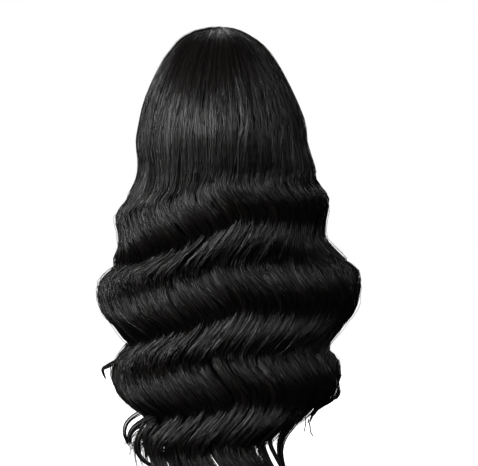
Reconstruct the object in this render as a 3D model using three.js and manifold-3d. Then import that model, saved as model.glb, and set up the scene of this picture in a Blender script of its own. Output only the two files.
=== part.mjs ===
// A long body-wave lace front wig, in millimetres, +Z up, the face side towards -Y.
// The origin is the inside of the cap at the crown, where the wearer's head carries it.
// A net cap, a sheer lace front and an elastic nape band are sewn edge to edge. The hair hangs from
// them in two tiers of waved locks: the long outer tier from the parting, and the nape tier inside it.
import * as THREE from "three";
import { mergeVertices } from "three/addons/utils/BufferGeometryUtils.js";
import Module from "manifold-3d";

const wasm = await Module();
wasm.setup();

// The cap, from the sizes of a medium wig cap of about 570 mm round the head
const headBreadth = 156; // inside, ear to ear
const headLength = 202; // inside, forehead to back
const crownHeight = 108; // inside crown down to the widest level of the head
const capWall = 1.2;
const laceWall = 1;
const laceDepth = 96; // front hairline back to the seam, over the top of the head
const bandWall = 1.6;
const bandHeight = 13; // the elastic band, along the cap's curve
const bandBearing = 40; // the band's half width, in degrees round the head from the back
const sewingGap = 0.3; // between the lace and the cap
const bandGap = 0.8; // between the cap's curved edge and the band
const seatGap = 1.6; // hair over cap at the facets' corners, nearer between them

// The hair over the head
const hairOverCrown = 12;
const hairOverSides = 13;
const hairOverBack = 14;
const hairOverFront = 8;
const crownFullness = 0.625; // 0.5 would be a true ellipsoid, and more is a more pointed crown
const crownPointBehind = 20; // the whorl's centre behind the origin
const whorlRadius = 6;
const partingLength = 105; // from the whorl's centre to the front hairline
const partingWidth = 3;
const fanAngle = 70; // locks this near to the back, in degrees, grow from the whorl and not the parting
const frontAngle = 128; // bearing of the foremost lock at the widest level, in degrees from the back

// The hanging hair
const hairFall = 392; // longest lock, from the widest level down
const splitAt = 0.5; // where the locks part from each other, as a share of hairFall
const napeStart = 44; // below the widest level, the seam of the nape tier
const napeSeam = 50; // bearing of the outermost nape lock at that seam, in degrees from the back
const napeReach = 0.7; // and where it hangs, as a share of the outer tier's bearing
const greatestHalfWidth = 128; // of the hanging hair, as seen from the back
const hangingDepth = 104; // back of the hanging hair behind the origin at that level
const lockThickness = 22; // outer tier, at its fullest
const napeThickness = 14; // nape tier, at its fullest
const napeTipShare = 0.6; // of that thickness left at the ends
const tierGap = 3; // between the two tiers at the facets' corners, nearer between them
const nodeGap = 1.6; // between neighbouring groups of locks
const headGroove = 0.88; // share of the thickness left in the groove between two locks over the head
const hangingGroove = 0.45; // and where they hang
const tipWidth = 0.1; // share of a lock's width left at its tip
const tipTaper = 1.7; // above 1 a lock keeps its width longer

// The wave that runs through all the hair
const wavePitch = 91; // one whole S along the fall
const waveSwing = 14; // sideways, each way
const waveDepth = 7; // forwards and back, at the sides of the head
const napeSwingRoom = 0.3; // share of the swing that the nape tier keeps clear of the cap
const ridgeDepth = 3; // the soft ridge across each slant of the wave
const waveStart = 22; // below the widest level, where the hair begins to wave
const waveRise = 48; // over which the swing grows to its full size
const firstSlant = 49; // below the widest level, the middle of the first slant
const bandDrop = 76; // the waves lie this much lower at the wearer's left side
const bandDropLoss = 1; // share of that drop lost by the ends
const startDelay = 0.4; // share of the drop by which the wave begins lower too
const middleBlend = 0.2; // half width of the soft bend in the drop at the middle, as a share of the side

const radians = THREE.MathUtils.degToRad;
const { lerp, clamp, smoothstep } = THREE.MathUtils;
const capHalfBreadth = headBreadth / 2;
const capHalfLength = headLength / 2;

// The form of the hanging hair by level. below is a share of hairFall, left and right (of the wearer) of
// greatestHalfWidth, back and front of hangingDepth, thickness of lockThickness, sweep of frontAngle.
const crownHalfWidth = capHalfBreadth + capWall + hairOverSides;
const crownBack = capHalfLength + capWall + hairOverBack;
const crownFront = capHalfLength + capWall + hairOverFront;
const levels = [
  { below: 0.17, left: 0.77, right: 0.8, back: 1.09, front: 0.91, thickness: 0.62, sweep: 0.93 },
  { below: 0.29, left: 0.87, right: 0.96, back: 1.04, front: 0.82, thickness: 0.82, sweep: 0.885 },
  { below: 0.41, left: 0.945, right: 1.03, back: 1, front: 0.78, thickness: 1, sweep: 0.855 },
  { below: 0.55, left: 0.875, right: 0.97, back: 0.98, front: 0.75, thickness: 1, sweep: 0.84 },
  { below: 0.68, left: 0.845, right: 0.91, back: 0.945, front: 0.72, thickness: 0.92, sweep: 0.835 },
  { below: 0.86, left: 0.75, right: 0.79, back: 0.9, front: 0.7, thickness: 0.75, sweep: 0.83 },
  { below: 1, left: 0.72, right: 0.72, back: 0.85, front: 0.68, thickness: 0.55, sweep: 0.83 },
];

// The cap's edge, by bearing from the back, as the angle at the cap's middle down from the crown
const capEdge = [
  { bearing: 0, down: 130 },
  { bearing: 22, down: 127 },
  { bearing: 45, down: 117 },
  { bearing: 70, down: 104 },
  { bearing: 90, down: 97 },
  { bearing: 102, down: 103 },
  { bearing: 112, down: 104 },
  { bearing: 125, down: 84 },
  { bearing: 140, down: 70 },
  { bearing: 158, down: 62 },
  { bearing: 180, down: 60 },
];

// The locks of the outer tier, from the front of the right side round the back to the front of the
// left side: the group each is in, its length as a share of hairFall, and how far its tip flicks
// towards the wearer's left as a share of waveSwing.
const outerLocks = [
  { group: "front_hair_right", length: 0.7, flick: -0.2 },
  { group: "front_hair_right", length: 0.715, flick: 0.1 },
  { group: "side_hair_right", length: 0.745, flick: -0.2 },
  { group: "side_hair_right", length: 0.76, flick: 0.3 },
  { group: "side_hair_right", length: 0.775, flick: 0.2 },
  { group: "back_hair_right", length: 0.79, flick: 0.5 },
  { group: "back_hair_right", length: 0.84, flick: 0.3 },
  { group: "back_hair_right", length: 0.93, flick: 0 },
  { group: "back_hair_centre", length: 0.975, flick: -0.2 },
  { group: "back_hair_centre", length: 0.99, flick: 0 },
  { group: "back_hair_centre", length: 1, flick: 0.2 },
  { group: "back_hair_centre", length: 0.985, flick: -0.1 },
  { group: "back_hair_left", length: 0.96, flick: 0.2 },
  { group: "back_hair_left", length: 0.915, flick: 0.3 },
  { group: "back_hair_left", length: 0.87, flick: 0.2 },
  { group: "side_hair_left", length: 0.82, flick: 0.3 },
  { group: "side_hair_left", length: 0.785, flick: -0.2 },
  { group: "side_hair_left", length: 0.76, flick: 0.2 },
  { group: "front_hair_left", length: 0.73, flick: 0.1 },
  { group: "front_hair_left", length: 0.705, flick: 0.2 },
];
const napeLocks = [
  { group: "nape_hair_right", length: 0.72, flick: -0.3 },
  { group: "nape_hair_right", length: 0.79, flick: -0.1 },
  { group: "nape_hair_right", length: 0.84, flick: 0.1 },
  { group: "nape_hair_centre", length: 0.88, flick: -0.1 },
  { group: "nape_hair_centre", length: 0.89, flick: 0.1 },
  { group: "nape_hair_left", length: 0.85, flick: 0.1 },
  { group: "nape_hair_left", length: 0.81, flick: 0.3 },
  { group: "nape_hair_left", length: 0.75, flick: 0.4 },
];

// Materials
const hairBlack = new THREE.MeshStandardMaterial({ color: 0x0b0b0c, roughness: 0.38, metalness: 0 });
const netBlack = new THREE.MeshStandardMaterial({ color: 0x1a1917, roughness: 0.85, metalness: 0 });
const laceBrown = new THREE.MeshStandardMaterial({ color: 0x6b4f3d, roughness: 0.8, metalness: 0 });
const elasticBlack = new THREE.MeshStandardMaterial({ color: 0x141414, roughness: 0.75, metalness: 0 });

// A value of a table at a place between its rows, with no corner at a row.
function readTable(table, key, column, place) {
  const last = table.length - 1;
  const next = clamp(table.findIndex((row) => row[key] > place), 1, last) || last;
  const upper = place >= table[last][key] ? last : next;
  const before = table[upper - 1];
  const after = table[upper];
  const share = clamp((place - before[key]) / (after[key] - before[key]), 0, 1);
  const slopeAt = (i) => {
    const a = table[Math.max(i - 1, 0)];
    const b = table[Math.min(i + 1, last)];
    return (b[column] - a[column]) / (b[key] - a[key]);
  };
  const span = after[key] - before[key];
  const t2 = share * share;
  const t3 = t2 * share;
  return (
    before[column] * (2 * t3 - 3 * t2 + 1) +
    after[column] * (3 * t2 - 2 * t3) +
    span * (slopeAt(upper - 1) * (t3 - 2 * t2 + share) + slopeAt(upper) * (t3 - t2))
  );
}

// The widest level of the head joins the table as its first row, in the table's own shares.
const fallTable = [
  {
    below: 0,
    left: crownHalfWidth / greatestHalfWidth,
    right: crownHalfWidth / greatestHalfWidth,
    back: crownBack / hangingDepth,
    front: crownFront / hangingDepth,
    thickness: hairOverSides / lockThickness,
    sweep: 1,
  },
  ...levels,
];

// The hair's inner face lies on the cap over the head, and hangs clear of it below.
function innerHalf(capHalf, hanging, along) {
  const onCap = capHalf + capWall + seatGap;
  return along <= 0 ? onCap : Math.max(hanging, onCap * Math.sqrt(1 - Math.min(along / crownHeight, 1) ** 2));
}

// The half axes of the hair's outer and inner face at a level, and the foremost lock's bearing there.
// along runs from -1 at the roots to 0 at the widest level, and is then the fall in millimetres.
function hairSection(along) {
  const below = clamp(along / hairFall, 0, 1);
  const read = (column) => readTable(fallTable, "below", column, below);
  const thickness = lockThickness * read("thickness");
  const outer = {
    left: greatestHalfWidth * read("left"),
    right: greatestHalfWidth * read("right"),
    back: hangingDepth * read("back"),
    front: hangingDepth * read("front"),
    top: crownHeight + hairOverCrown,
    fullness: crownFullness,
  };
  const inner = {
    left: innerHalf(capHalfBreadth, outer.left - thickness, along),
    right: innerHalf(capHalfBreadth, outer.right - thickness, along),
    back: innerHalf(capHalfLength, outer.back - thickness, along),
    front: innerHalf(capHalfLength, outer.front - thickness, along),
    top: crownHeight + capWall + seatGap,
    fullness: 0.5,
  };
  return { outer, inner, reach: radians(frontAngle) * read("sweep") };
}

// The nape tier lies inside the outer tier. It is sewn along the cap's lower edge and spreads below it.
function napeSection(along) {
  const above = hairSection(along);
  const hung = smoothstep(along, napeStart, crownHeight);
  const ends = smoothstep(along, splitAt * hairFall, hairFall);
  const thickness = napeThickness * lerp(1, napeTipShare, ends);
  const capShare = Math.sqrt(1 - Math.min(along / crownHeight, 1) ** 2);
  const swingRoom = waveSwing * napeSwingRoom * waveSize(along, 0);
  const outer = { fullness: crownFullness, top: above.inner.top };
  const inner = { fullness: 0.5, top: above.inner.top };
  for (const axis of ["left", "right", "back", "front"]) {
    const capHalf = (axis === "left" || axis === "right" ? capHalfBreadth : capHalfLength) + capWall;
    outer[axis] = above.inner[axis] - tierGap;
    inner[axis] = Math.max(outer[axis] - thickness, capHalf * capShare + seatGap + swingRoom);
  }
  return { outer, inner, reach: lerp(radians(napeSeam), above.reach * napeReach, hung) };
}

// A point of the hair before it is waved: side runs from -1 at the foremost lock on the right to 1 on
// the left, and depth from 0 at the inner face to 1 at the outer one.
function restPoint(section, side, along, depth) {
  const bearing = Math.abs(side) * section.reach;
  const rim = { x: Math.sin(bearing), y: Math.cos(bearing) };
  // In plan a lock runs straight from its root to the rim, and it stays at the rim where it hangs.
  const fan = radians(fanAngle);
  const forward = clamp((bearing - fan) / (section.reach - fan), 0, 1);
  const ring = Math.min(bearing, fan);
  const rootX = lerp(whorlRadius, partingWidth / 2, Math.min(1, 6 * forward)) * Math.sin(ring);
  const rootY = crownPointBehind + whorlRadius * Math.cos(ring) - forward * partingLength;
  const laid = Math.sin((Math.PI / 2) * clamp(1 + along, 0, 1));
  const planX = lerp(rootX / crownHalfWidth, rim.x, laid);
  const planY = lerp(rootY / (rootY > 0 ? crownBack : crownFront), rim.y, laid);
  const rise = Math.max(0, 1 - planX * planX - planY * planY);
  const at = (face) => [
    side < 0 ? -face.right * planX : face.left * planX,
    (planY > 0 ? face.back : face.front) * planY,
    face.top * Math.pow(rise, face.fullness) - crownHeight - Math.max(0, along),
  ];
  const inner = at(section.inner);
  const outer = at(section.outer);
  return new THREE.Vector3(...inner.map((value, i) => lerp(value, outer[i], depth)));
}

// How far the wave has grown at a level, for hair whose waves lie lower by drop.
function waveSize(fall, drop) {
  const start = waveStart + startDelay * drop;
  return smoothstep(fall, start, start + waveRise);
}

// The wave: all the hair at one phase swings the same way, and the phase comes later on the left.
function waved(point, along) {
  const fall = Math.max(0, along);
  const { left, right } = hairSection(along).outer;
  const across = clamp(point.x / (point.x < 0 ? right : left), -1, 1);
  const leftShare = (across + Math.hypot(across, middleBlend)) / 2;
  const drop = bandDrop * leftShare * (1 - (bandDropLoss * fall) / hairFall);
  const phase = (2 * Math.PI * (fall - firstSlant - drop)) / wavePitch;
  const size = waveSize(fall, drop);
  const ridge = ridgeDepth * size * Math.cos(2 * phase);
  const away = Math.hypot(point.x, point.y);
  point.x += -waveSwing * size * Math.sin(phase) + (ridge * point.x) / away;
  point.y += waveDepth * size * across * across * Math.cos(phase) + (ridge * point.y) / away;
  return point;
}

// A closed geometry from lists of points and triangles of their numbers.
function closedGeometry(points, triangles) {
  const geometry = new THREE.BufferGeometry();
  geometry.setAttribute("position", new THREE.Float32BufferAttribute(points.flatMap((p) => p.toArray()), 3));
  geometry.setIndex(triangles);
  geometry.computeVertexNormals();
  return geometry;
}

// Rows down the hair: some over the head, then about six to each wave, at levels that every lock shares,
// so that neighbours fit. One of them is where the locks split.
const domeRows = 8;
const rowsPerWave = 6;
const splitLevel = splitAt * hairFall;
const fusedCount = Math.round((splitLevel * rowsPerWave) / wavePitch);
const rowSpacing = splitLevel / fusedCount;
const overHead = Array.from({ length: domeRows }, (_, i) => i / domeRows - 1);
const hangingRows = Array.from({ length: Math.ceil(hairFall / rowSpacing) }, (_, i) =>
  i === fusedCount ? splitLevel : i * rowSpacing,
);

// A lock's outer face across its width, and how far each line of it dips as a share of the groove.
const lockProfile = [
  { across: -1, groove: 1 },
  { across: -0.55, groove: 0.25 },
  { across: 0, groove: 0 },
  { across: 0.55, groove: 0.25 },
  { across: 1, groove: 1 },
];
const lastLine = lockProfile.length - 1;
const tipDepth = 0.45; // depth, as a share of the thickness, that a tip shrinks towards
const grooveDepth = (along) => 1 - lerp(headGroove, hangingGroove, smoothstep(along, 0, splitLevel));

// A point of one lock: across its width from -1 to 1, and depth from its inner face at 0 to 1.
// Where a lock ends a group, nodeGap is left to the next one.
function lockPoint(tier, lock, along, across, depth, endsGroup) {
  const section = tier.section(along);
  const loose = Math.max(0, (along - splitLevel) / (lock.length * hairFall - splitLevel));
  const narrow = lerp(1, tipWidth, Math.pow(loose, tipTaper));
  const halfStep = 1 / tier.count;
  const middle = (2 * lock.place + 1) * halfStep - 1;
  const right = restPoint(section, middle - halfStep / 2, along, 1);
  const left = restPoint(section, middle + halfStep / 2, along, 1);
  const gap = endsGroup ? (nodeGap / right.distanceTo(left)) * (halfStep / 2) : 0;
  const side = middle + across * (halfStep * narrow - gap);
  const point = waved(restPoint(section, side, along, lerp(tipDepth, depth, narrow)), along);
  point.x += waveSwing * lock.flick * loose * loose;
  return point;
}

// One group of locks as a closed solid. Neighbours share the groove between them down to the split,
// and each is a lock of its own below it.
function lockGroup(tier, locks) {
  const points = [];
  const triangles = [];
  const splitRow = tier.rows.indexOf(splitLevel);
  const quad = (a, b, c, d) => triangles.push(a, b, c, a, c, d);
  let before = null;
  locks.forEach((lock, number) => {
    const end = lock.length * hairFall;
    const lockRows = [...tier.rows.filter((level) => level < end - rowSpacing / 2), end];
    const rows = lockRows.map((along, row) => {
      const shared = before && row <= splitRow ? before[row] : null;
      const opens = number === 0 || row > splitRow;
      const closes = number === locks.length - 1 || row > splitRow;
      const put = (across, depth) => {
        const endsGroup = (across === -1 && opens) || (across === 1 && closes);
        return points.push(lockPoint(tier, lock, along, across, depth, endsGroup)) - 1;
      };
      const outer = lockProfile.map(({ across, groove }, line) =>
        line === 0 && shared ? shared.outer[lastLine] : put(across, 1 - groove * grooveDepth(along)),
      );
      return { outer, inner: [shared ? shared.inner[1] : put(-1, 0), put(1, 0)] };
    });
    const lastRow = rows.length - 1;
    for (let row = 0; row < lastRow; row++) {
      const [a, b] = [rows[row], rows[row + 1]];
      for (let line = 0; line < lastLine; line++) {
        quad(a.outer[line], a.outer[line + 1], b.outer[line + 1], b.outer[line]);
      }
      quad(a.inner[1], a.inner[0], b.inner[0], b.inner[1]);
      const parted = row >= splitRow;
      if (parted || number === 0) quad(a.outer[0], b.outer[0], b.inner[0], a.inner[0]);
      if (parted || number === locks.length - 1) {
        quad(a.outer[lastLine], a.inner[1], b.inner[1], b.outer[lastLine]);
      }
    }
    for (const [row, atTip] of [[rows[0], false], [rows[lastRow], true]]) {
      const loop = [...row.outer, row.inner[1], row.inner[0]];
      for (let i = 1; i + 1 < loop.length; i++) {
        triangles.push(loop[0], ...(atTip ? [loop[i], loop[i + 1]] : [loop[i + 1], loop[i]]));
      }
    }
    before = rows;
  });
  return closedGeometry(points, triangles);
}

const outerTier = {
  section: hairSection,
  rows: [...overHead, ...hangingRows],
  count: outerLocks.length,
};
const napeTier = {
  section: napeSection,
  rows: [napeStart, ...hangingRows.filter((level) => level > napeStart + rowSpacing / 2)],
  count: napeLocks.length,
};

// Every group of a tier as a named mesh.
function hairMeshes(tier, locks) {
  const placed = locks.map((lock, place) => ({ ...lock, place }));
  const names = [...new Set(locks.map((lock) => lock.group))];
  return names.map((name) => {
    const members = placed.filter((lock) => lock.group === name);
    const mesh = new THREE.Mesh(lockGroup(tier, members), hairBlack);
    mesh.name = name;
    return mesh;
  });
}

// A point of the cap: bearing round from the back, down as the angle from the crown, both in radians.
function capPoint(bearing, down, offset) {
  return new THREE.Vector3(
    (capHalfBreadth + offset) * Math.sin(down) * Math.sin(bearing),
    (capHalfLength + offset) * Math.sin(down) * Math.cos(bearing),
    (crownHeight + offset) * Math.cos(down) - crownHeight,
  );
}

const capEdgeDown = (bearing) => {
  const around = THREE.MathUtils.radToDeg(Math.abs(bearing));
  return radians(readTable(capEdge, "bearing", "down", around));
};

// A dome of the given wall from the crown to the cap's edge, closed at its rim.
const capSegments = 28;
const capRings = 8;

function capDome(wall) {
  const points = [capPoint(0, 0, 0), capPoint(0, 0, wall)];
  const triangles = [];
  const inside = (ring, segment) => 2 * ((ring - 1) * capSegments + (segment % capSegments) + 1);
  const outside = (ring, segment) => inside(ring, segment) + 1;
  const quad = (a, b, c, d) => triangles.push(a, b, c, a, c, d);
  for (let ring = 1; ring <= capRings; ring++) {
    for (let segment = 0; segment < capSegments; segment++) {
      const bearing = (2 * Math.PI * segment) / capSegments - Math.PI;
      const down = (capEdgeDown(bearing) * ring) / capRings;
      points.push(capPoint(bearing, down, 0), capPoint(bearing, down, wall));
    }
  }
  for (let segment = 0; segment < capSegments; segment++) {
    const next = segment + 1;
    triangles.push(0, inside(1, segment), inside(1, next), 1, outside(1, next), outside(1, segment));
    for (let ring = 1; ring < capRings; ring++) {
      const below = ring + 1;
      quad(inside(ring, segment), inside(below, segment), inside(below, next), inside(ring, next));
      quad(outside(ring, segment), outside(ring, next), outside(below, next), outside(below, segment));
    }
    const [rimIn, rimOut] = [inside(capRings, segment), outside(capRings, segment)];
    quad(rimIn, rimOut, outside(capRings, next), inside(capRings, next));
  }
  return closedGeometry(points, triangles);
}

// The parts of a geometry that lie in front of or behind a plane across the head.
function keepSide(geometry, planeY, front) {
  const reach = headLength;
  const slab = new THREE.BoxGeometry(3 * headBreadth, reach, 6 * crownHeight);
  slab.translate(0, planeY + (front ? -reach / 2 : reach / 2), 0);
  const [body, box] = [geometry, slab].map((shape) => {
    const bare = shape.clone().deleteAttribute("normal").deleteAttribute("uv");
    const merged = mergeVertices(bare);
    const vertProperties = merged.attributes.position.array;
    const triVerts = new Uint32Array(merged.index.array);
    return new wasm.Manifold(new wasm.Mesh({ numProp: 3, vertProperties, triVerts }));
  });
  const kept = body.intersect(box).getMesh();
  const result = new THREE.BufferGeometry();
  result.setAttribute("position", new THREE.BufferAttribute(kept.vertProperties, 3));
  result.setIndex(new THREE.BufferAttribute(kept.triVerts, 1));
  result.computeVertexNormals();
  return result;
}

// The seam across the head: the lace reaches back from the front hairline by its depth over the crown.
const frontEdgeDown = radians(readTable(capEdge, "bearing", "down", 180));
const crownRadius = (crownHeight + capHalfLength) / 2;
const seamDown = frontEdgeDown - laceDepth / crownRadius;
const seamY = -capHalfLength * Math.sin(seamDown);

function cap() {
  const geometry = keepSide(capDome(capWall), seamY + sewingGap / 2, false);
  const mesh = new THREE.Mesh(geometry, netBlack);
  mesh.name = "wig_cap";
  return mesh;
}

function laceFront() {
  const geometry = keepSide(capDome(laceWall), seamY - sewingGap / 2, true);
  const mesh = new THREE.Mesh(geometry, laceBrown);
  mesh.name = "lace_front";
  return mesh;
}

// The elastic band follows the cap's nape edge and carries its curve on downwards.
const bandSegments = 14;

function napeBand() {
  const points = [];
  const triangles = [];
  const gapAngle = bandGap / capHalfLength;
  const heightAngle = bandHeight / capHalfLength;
  for (let segment = 0; segment <= bandSegments; segment++) {
    const bearing = radians(lerp(-bandBearing, bandBearing, segment / bandSegments));
    const top = capEdgeDown(bearing) + gapAngle;
    points.push(capPoint(bearing, top, 0), capPoint(bearing, top, bandWall));
    points.push(capPoint(bearing, top + heightAngle, bandWall), capPoint(bearing, top + heightAngle, 0));
  }
  for (let segment = 0; segment < bandSegments; segment++) {
    for (let corner = 0; corner < 4; corner++) {
      const [a, b] = [4 * segment + corner, 4 * segment + ((corner + 1) % 4)];
      triangles.push(a, b + 4, b, a, a + 4, b + 4);
    }
  }
  const last = 4 * bandSegments;
  triangles.push(0, 1, 2, 0, 2, 3, last, last + 2, last + 1, last, last + 3, last + 2);
  const mesh = new THREE.Mesh(closedGeometry(points, triangles), elasticBlack);
  mesh.name = "nape_band";
  return mesh;
}

const wig = new THREE.Group();
wig.add(cap(), laceFront(), napeBand());
wig.add(...hairMeshes(outerTier, outerLocks), ...hairMeshes(napeTier, napeLocks));
export default wig;
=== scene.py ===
import math

import bmesh
import bpy
import numpy as np
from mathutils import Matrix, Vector


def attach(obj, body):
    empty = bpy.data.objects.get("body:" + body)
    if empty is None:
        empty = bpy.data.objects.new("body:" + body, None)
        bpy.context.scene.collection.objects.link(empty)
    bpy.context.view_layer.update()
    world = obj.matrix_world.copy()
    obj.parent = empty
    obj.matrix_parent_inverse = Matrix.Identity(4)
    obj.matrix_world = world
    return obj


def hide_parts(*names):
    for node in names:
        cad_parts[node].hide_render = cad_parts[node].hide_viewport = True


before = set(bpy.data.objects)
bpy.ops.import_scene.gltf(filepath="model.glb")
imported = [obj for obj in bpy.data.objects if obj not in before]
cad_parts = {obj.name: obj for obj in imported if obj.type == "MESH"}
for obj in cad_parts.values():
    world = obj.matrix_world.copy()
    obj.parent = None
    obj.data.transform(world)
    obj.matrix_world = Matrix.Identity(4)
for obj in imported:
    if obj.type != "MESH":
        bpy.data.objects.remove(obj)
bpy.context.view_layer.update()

photo = {"width": 478, "height": 466, "metresPerPixel": 0.00105, "crownX": 222, "crownY": 27}

head = {"halfBreadth": 0.078, "halfLength": 0.101, "crown": 0.108, "wall": 0.0012, "lace": 0.001}
hair = {
    "overCrown": 0.012, "overSides": 0.013, "overBack": 0.014, "overFront": 0.008, "fullness": 0.625,
    "whorlBehind": 0.02, "whorlRadius": 0.002, "partingLength": 0.105, "partingWidth": 0.0022,
    "partingOpens": 6, "overEnds": [0.3, 0.55], "asideEnds": [0.5, 0.95],
    "fan": math.radians(70), "front": math.radians(128), "headArc": 0.185, "seat": 0.0012,
    "fall": 0.392, "longest": 0.39396, "halfWidth": 0.128, "depth": 0.104, "thickness": 0.022,
    "split": 0.196, "napeThickness": 0.014, "napeStart": 0.044, "napeSeam": math.radians(50),
    "napeReach": 0.7, "napeTaper": 0.4, "napeRoom": 0.3, "tierGap": 0.002,
}
wave = {
    "pitch": 0.094, "swing": 0.013, "depth": 0.005, "ridge": 0.0045, "ridgeLag": 0.55, "start": 0.026,
    "rise": 0.035, "firstSlant": 0.0528, "drop": 0.076, "dropLoss": 0.9, "startDelay": 0.4,
    "middleBlend": 0.1,
}
headSide = head["halfBreadth"] + head["wall"] + hair["overSides"]
headBack = head["halfLength"] + head["wall"] + hair["overBack"]
headFront = head["halfLength"] + head["wall"] + hair["overFront"]
# The half axes of the head and of the widest hair, on each side.
halves = {side: (head["halfBreadth"], hair["halfWidth"]) for side in ("left", "right")}
halves.update({side: (head["halfLength"], hair["depth"]) for side in ("back", "front")})

# The form of the hair by level, in the same shares as the frame's solids have.
levels = {
    "below": [0, 0.17, 0.29, 0.41, 0.55, 0.68, 0.86, 1],
    "left": [headSide / hair["halfWidth"], 0.77, 0.87, 0.945, 0.875, 0.845, 0.75, 0.72],
    "right": [headSide / hair["halfWidth"], 0.8, 0.96, 1.03, 0.97, 0.91, 0.79, 0.72],
    "back": [headBack / hair["depth"], 1.09, 1.04, 1, 0.98, 0.945, 0.9, 0.85],
    "front": [headFront / hair["depth"], 0.91, 0.82, 0.78, 0.75, 0.72, 0.7, 0.68],
    "thickness": [hair["overSides"] / hair["thickness"], 0.62, 0.82, 1, 1, 0.92, 0.75, 0.55],
    "sweep": [1, 0.93, 0.885, 0.855, 0.84, 0.835, 0.83, 0.83],
}
outerLocks = {
    "front_hair_right": {"lengths": [0.7, 0.715], "flicks": [-0.2, 0.1]},
    "side_hair_right": {"lengths": [0.745, 0.76, 0.775], "flicks": [-0.2, 0.3, 0.2]},
    "back_hair_right": {"lengths": [0.79, 0.84, 0.93], "flicks": [0.5, 0.3, 0]},
    "back_hair_centre": {"lengths": [0.975, 0.99, 1, 0.985], "flicks": [-0.2, 0, 0.2, -0.1]},
    "back_hair_left": {"lengths": [0.96, 0.915, 0.87], "flicks": [0.2, 0.3, 0.2]},
    "side_hair_left": {"lengths": [0.82, 0.785, 0.76], "flicks": [0.3, -0.2, 0.2]},
    "front_hair_left": {"lengths": [0.73, 0.705], "flicks": [0.1, 0.2]},
}
napeLocks = {
    "nape_hair_right": {"lengths": [0.72, 0.79, 0.84], "flicks": [-0.3, -0.1, 0.1]},
    "nape_hair_centre": {"lengths": [0.88, 0.89], "flicks": [-0.1, 0.1]},
    "nape_hair_left": {"lengths": [0.85, 0.81, 0.75], "flicks": [0.1, 0.3, 0.4]},
}


# How the dressed hair's sides differ in width from that form, as shares, by height below the crown. They
# fade out across the back, but hold for all hair near the crown.
settled = {
    "acrossEnds": [0.2, 0.95], "crownEnds": [0.03, 0.08],
    "below": [0, 0.009, 0.016, 0.022, 0.03, 0.045, 0.06, 0.08, 0.1, 0.12, 0.14, 0.155, 0.167, 0.18, 0.19,
              0.205, 0.222, 0.232, 0.243, 0.252, 0.261, 0.275, 0.3, 0.315, 0.331, 0.343, 0.356, 0.368, 0.38,
              0.4, 0.42, 0.45],
    "left": [0.3, 0.21, 0.13, 0.07, 0.04, 0, -0.02, -0.022, -0.035, -0.03, -0.065, -0.068, -0.03, 0.03,
             0.03, -0.02, -0.055, -0.05, 0.05, 0.12, 0.06, -0.005, -0.005, -0.05, 0.02, -0.035, -0.045,
             -0.035, -0.025, -0.08, -0.06, 0],
    "right": [-0.09, -0.09, -0.053, -0.054, -0.06, -0.095, -0.08, -0.055, -0.03, -0.035, 0, 0.04, 0.03, 0,
              -0.025, -0.07, -0.105, 0, 0.17, 0.185, 0.08, 0.013, 0.01, -0.035, -0.01, 0.08, -0.01, -0.04,
              -0.06, -0.13, -0.2, -0.15],
}


# A smooth step from 0 at low to 1 at high.
def smooth(x, low, high):
    t = np.clip((x - low) / (high - low), 0, 1)
    return t * t * (3 - 2 * t)


# A cubic over t from 0 to 1, from first to second, with the given slopes at its two ends.
def cubic(t, first, second, slopeFirst, slopeSecond):
    return (first * (2 * t**3 - 3 * t**2 + 1) + second * (3 * t**2 - 2 * t**3)
            + slopeFirst * (t**3 - 2 * t**2 + t) + slopeSecond * (t**3 - t**2))


# A table at any places: cubics through its rows, whose slope at a row is that of the line between its
# two neighbours.
def readRows(keys, values, places):
    keys, values = np.array(keys), np.array(values)
    last = len(keys) - 1
    upper = np.clip(np.searchsorted(keys, places, side="right"), 1, last)
    lower = upper - 1
    span = keys[upper] - keys[lower]
    t = np.clip((places - keys[lower]) / span, 0, 1)
    rows = np.arange(last + 1)
    high, low = np.minimum(rows + 1, last), np.maximum(rows - 1, 0)
    slopes = (values[high] - values[low]) / (keys[high] - keys[low])
    return cubic(t, values[lower], values[upper], span * slopes[lower], span * slopes[upper])


# along is -1 at the roots, 0 at the widest level of the head, and then the fall in metres. A path is in
# metres all the way, and negative over the head.
def toAlong(path):
    return np.where(path < 0, path / hair["headArc"], path)


# How far a lock has parted from its neighbours: 0 down to the split, and 1 at its end.
def partedShare(path, end):
    return np.clip((path - hair["split"]) / (end - hair["split"]), 0, 1)


# The share of the cap's half axes at each level: a quarter ellipse from the widest level to none.
def capShare(along):
    return np.sqrt(1 - np.clip(along / head["crown"], 0, 1) ** 2)


# The half axes of the outer tier's two faces at each level.
def hairSection(along):
    level = lambda column: readRows(levels["below"], levels[column], np.clip(along / hair["fall"], 0, 1))
    thick = hair["thickness"] * level("thickness")
    outer, inner = {}, {}
    for side, (half, widest) in halves.items():
        onCap = half + head["wall"] + hair["seat"]
        outer[side] = widest * level(side)
        hung = np.maximum(outer[side] - thick, onCap * capShare(along))
        inner[side] = np.where(along <= 0, onCap, hung)
    outer["top"], outer["fullness"] = head["crown"] + hair["overCrown"], hair["fullness"]
    inner["top"], inner["fullness"] = head["crown"] + head["wall"] + hair["seat"], 0.5
    return outer, inner, hair["front"] * level("sweep")


# The nape tier's faces lie inside the outer tier, and its sides spread from the seam to napeReach.
def napeSection(along):
    above, under, reach = hairSection(along)
    hung = smooth(along, hair["napeStart"], head["crown"])
    thick = hair["napeThickness"] * (1 - hair["napeTaper"] * smooth(along, hair["split"], hair["fall"]))
    outer = {"top": under["top"], "fullness": hair["fullness"]}
    inner = {"top": under["top"], "fullness": 0.5}
    room = hair["seat"] + hair["napeRoom"] * wave["swing"] * waveSize(along, 0)
    for side, (half, widest) in halves.items():
        outer[side] = under[side] - hair["tierGap"]
        inner[side] = np.maximum(outer[side] - thick, (half + head["wall"]) * capShare(along) + room)
    return outer, inner, hair["napeSeam"] * (1 - hung) + reach * hair["napeReach"] * hung


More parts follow.
